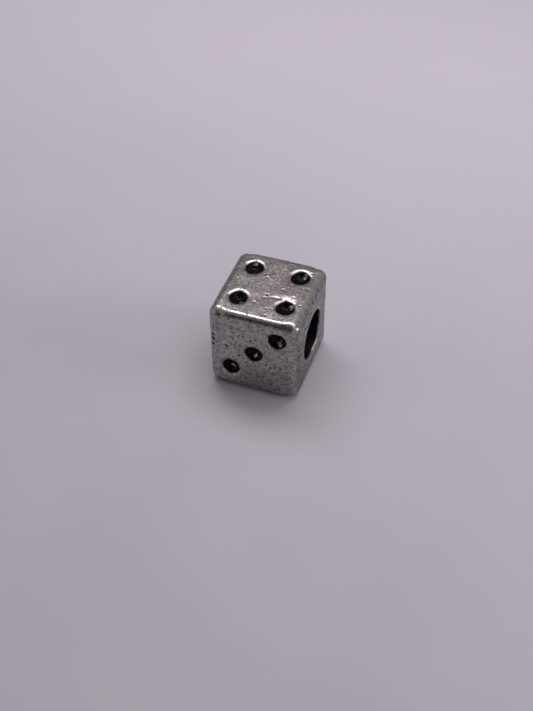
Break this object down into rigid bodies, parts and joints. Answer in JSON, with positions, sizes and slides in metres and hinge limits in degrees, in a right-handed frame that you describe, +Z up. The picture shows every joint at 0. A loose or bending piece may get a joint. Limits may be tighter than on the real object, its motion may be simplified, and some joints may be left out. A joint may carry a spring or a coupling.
{
  "type": "die-shaped bead",
  "caption": "Metal bead shaped as a die, with a wide hole from side to side for a cord or bracelet and black enamel in its pips.",
  "frame": {"origin": "middle of the underside, on the surface that the bead stands on", "axes": "+X along the hole, -Y out of the face with three pips, +Z up out of the face with four pips"},
  "size_m": [0.008, 0.0084, 0.0084],
  "materials": {
    "antique_silver_plate": "antique silver plate over a zinc alloy casting: satin mid-grey metal with dark speckle, small casting pits and brighter rubbed edges",
    "black_enamel": "near-black glossy enamel, slightly lumpy, sunk below the face"
  },
  "bodies": {
    "root": {"bead_casting": "antique_silver_plate", "pip_enamel_top_1": "black_enamel", "pip_enamel_top_2": "black_enamel", "pip_enamel_top_3": "black_enamel", "pip_enamel_top_4": "black_enamel", "pip_enamel_front_1": "black_enamel", "pip_enamel_front_2": "black_enamel", "pip_enamel_front_3": "black_enamel", "pip_enamel_back_1": "black_enamel", "pip_enamel_back_2": "black_enamel", "pip_enamel_back_3": "black_enamel", "pip_enamel_back_4": "black_enamel", "pip_enamel_back_5": "black_enamel", "pip_enamel_bottom_1": "black_enamel", "pip_enamel_bottom_2": "black_enamel"}
  },
  "joints": []
}
